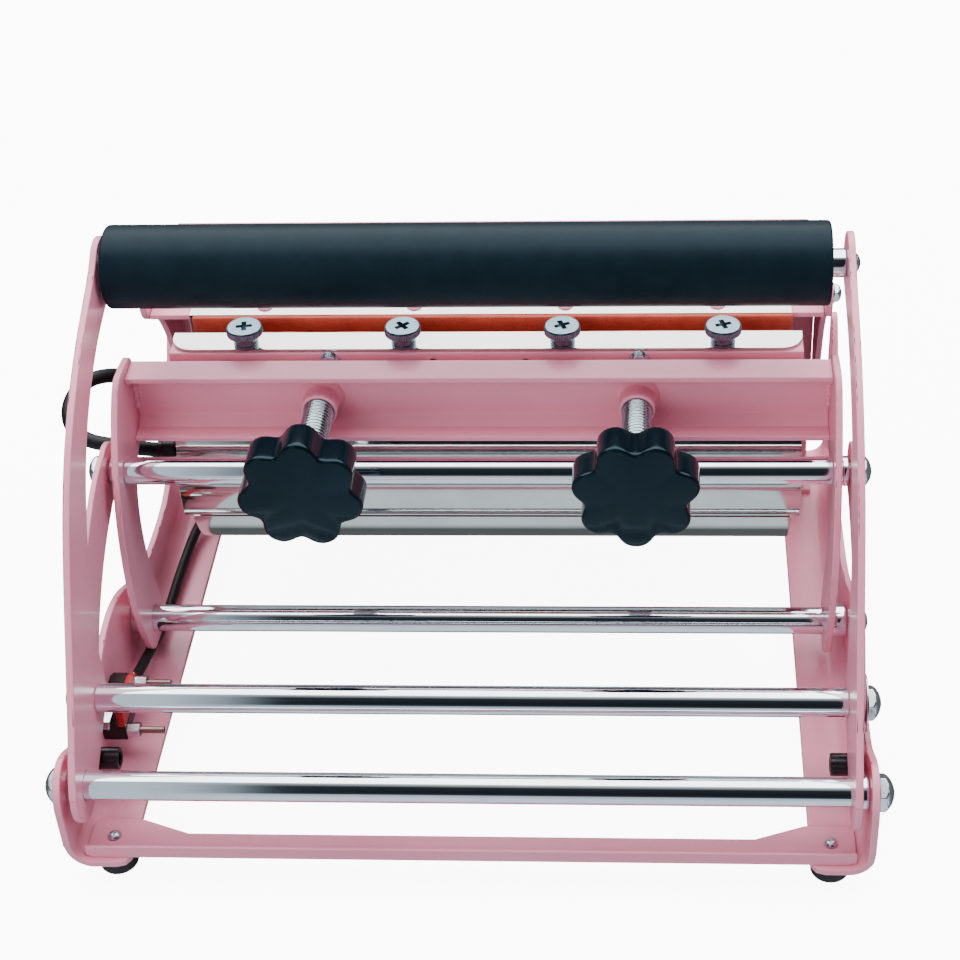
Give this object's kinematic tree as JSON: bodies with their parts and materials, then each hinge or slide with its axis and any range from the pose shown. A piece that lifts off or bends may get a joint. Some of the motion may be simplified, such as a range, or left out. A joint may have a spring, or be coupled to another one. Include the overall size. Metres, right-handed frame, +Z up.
{
  "type": "tumbler heat press",
  "caption": "Hand-lever tumbler heat press: a toggle-linked front jaw closes a padded heating sleeve against a fixed rear jaw, with lobed clamp knobs and a roller grip.",
  "frame": {"origin": "on the table, under the middle of the object", "axes": "+Z up, -Y towards the operator, +X to the operator's right"},
  "size_m": [0.3586, 0.283, 0.2145],
  "materials": {
    "pink_paint": "glossy powder coat",
    "chrome_bar": "polished bar",
    "zinc": "zinc plated",
    "stainless": "mill-finish stainless sheet",
    "silicone": "moulded silicone",
    "grip_foam": "satin black sleeve",
    "knob_plastic": "gloss black moulding",
    "black_rubber": "matte",
    "black_plastic": "moulded",
    "red_plastic": "moulded",
    "lead_sheath": "smooth black sheath"
  },
  "bodies": {
    "base": {"side_frame_left": "pink_paint", "side_frame_right": "pink_paint", "front_cross_plate": "pink_paint", "rear_cross_plate": "pink_paint", "foot_screws": "zinc", "rubber_feet": "black_rubber", "rear_panel": "pink_paint", "panel_foot_screws": "zinc", "supply_gland": "black_plastic", "rear_bracket": "pink_paint", "rear_cheek_left": "pink_paint", "rear_cheek_right": "pink_paint", "cheek_bolts": "zinc", "rear_shell": "stainless", "rear_clamp_screws": "zinc", "rear_heater_pad": "silicone", "pivot_bar_lever": "chrome_bar", "pivot_bar_frame": "chrome_bar", "lever_pivot_bolts": "zinc", "frame_pivot_bolts": "zinc", "lever_pivot_spacers": "zinc", "frame_pivot_spacers": "zinc", "stop_bumpers": "black_rubber", "bumper_screws": "zinc", "switch_body": "black_plastic", "switch_cap": "red_plastic", "switch_screws": "zinc", "switch_terminals": "zinc", "switch_pivot": "zinc", "rear_gland": "black_plastic", "heater_lead": "lead_sheath", "switch_lead": "lead_sheath"},
    "lever": {"lever_left": "pink_paint", "lever_right": "pink_paint", "cross_bar_lever": "chrome_bar", "grip_axle": "chrome_bar", "lever_link_bolts": "zinc", "grip_bolts": "zinc"},
    "grip": {"grip_sleeve": "grip_foam", "grip_bushings": "black_plastic"},
    "link_left": {"link_left": "pink_paint"},
    "link_right": {"link_right": "pink_paint"},
    "hinged_frame": {"frame_plate_left": "pink_paint", "frame_plate_right": "pink_paint", "channel_beam": "pink_paint", "screw_bosses": "zinc", "cross_bar_frame": "chrome_bar", "link_spacers": "zinc", "link_bolts": "zinc"},
    "front_jaw": {"jaw_angle": "pink_paint", "front_shell": "stainless", "front_heater_pad": "silicone", "thumb_screws": "zinc", "angle_screws": "zinc", "front_gland": "black_plastic"},
    "knob_left": {"knob_left": "knob_plastic", "clamp_screw_left": "zinc"},
    "knob_right": {"knob_right": "knob_plastic", "clamp_screw_right": "zinc"},
    "switch_lever": {"switch_lever": "zinc"}
  },
  "joints": [
    {"name": "lever_pivot", "type": "hinge", "parent": "base", "child": "lever", "pos_m": [0, -0.1255, 0.044], "axis": [1, 0, 0], "range_deg": [0, 75]},
    {"name": "frame_pivot", "type": "hinge", "parent": "base", "child": "hinged_frame", "pos_m": [0, -0.0115, 0.033], "axis": [1, 0, 0], "range_deg": [0, 20.84], "deforming": ["heater_lead"]},
    {"name": "link_left_pivot", "type": "hinge", "parent": "hinged_frame", "child": "link_left", "pos_m": [-0.15815, -0.0105, 0.116], "axis": [1, 0, 0], "range_deg": [-36.93, 0]},
    {"name": "link_right_pivot", "type": "hinge", "parent": "hinged_frame", "child": "link_right", "pos_m": [0.15815, -0.0105, 0.116], "axis": [1, 0, 0], "range_deg": [-36.93, 0]},
    {"name": "jaw_slide", "type": "slide", "parent": "hinged_frame", "child": "front_jaw", "axis": [0, 1, 0], "range_m": [-0.003, 0]},
    {"name": "knob_left_turn", "type": "hinge", "parent": "front_jaw", "child": "knob_left", "pos_m": [-0.068, -0.043, 0.133], "axis": [0, 1, 0], "range_deg": [-540.2, 0]},
    {"name": "knob_right_turn", "type": "hinge", "parent": "front_jaw", "child": "knob_right", "pos_m": [0.068, -0.043, 0.133], "axis": [0, 1, 0], "range_deg": [-540.2, 0]},
    {"name": "grip_roll", "type": "hinge", "parent": "lever", "child": "grip", "pos_m": [0, 0.0235, 0.197], "axis": [1, 0, 0], "continuous": true},
    {"name": "switch_blade", "type": "hinge", "parent": "base", "child": "switch_lever", "pos_m": [-0.155, -0.0665, 0.041], "axis": [1, 0, 0], "range_deg": [0, 6], "stiffness_Nm_per_rad": 0.05, "springref_deg": -2.86}
  ],
  "couplings": [
    {"joint": "frame_pivot", "follows": "lever_pivot", "ratio": 0.2778},
    {"joint": "link_left_pivot", "follows": "lever_pivot", "ratio": -0.4923},
    {"joint": "link_right_pivot", "follows": "lever_pivot", "ratio": -0.4923},
    {"joint": "knob_left_turn", "follows": "jaw_slide", "rad_per_m": 3141.6},
    {"joint": "knob_right_turn", "follows": "jaw_slide", "rad_per_m": 3141.6}
  ]
}
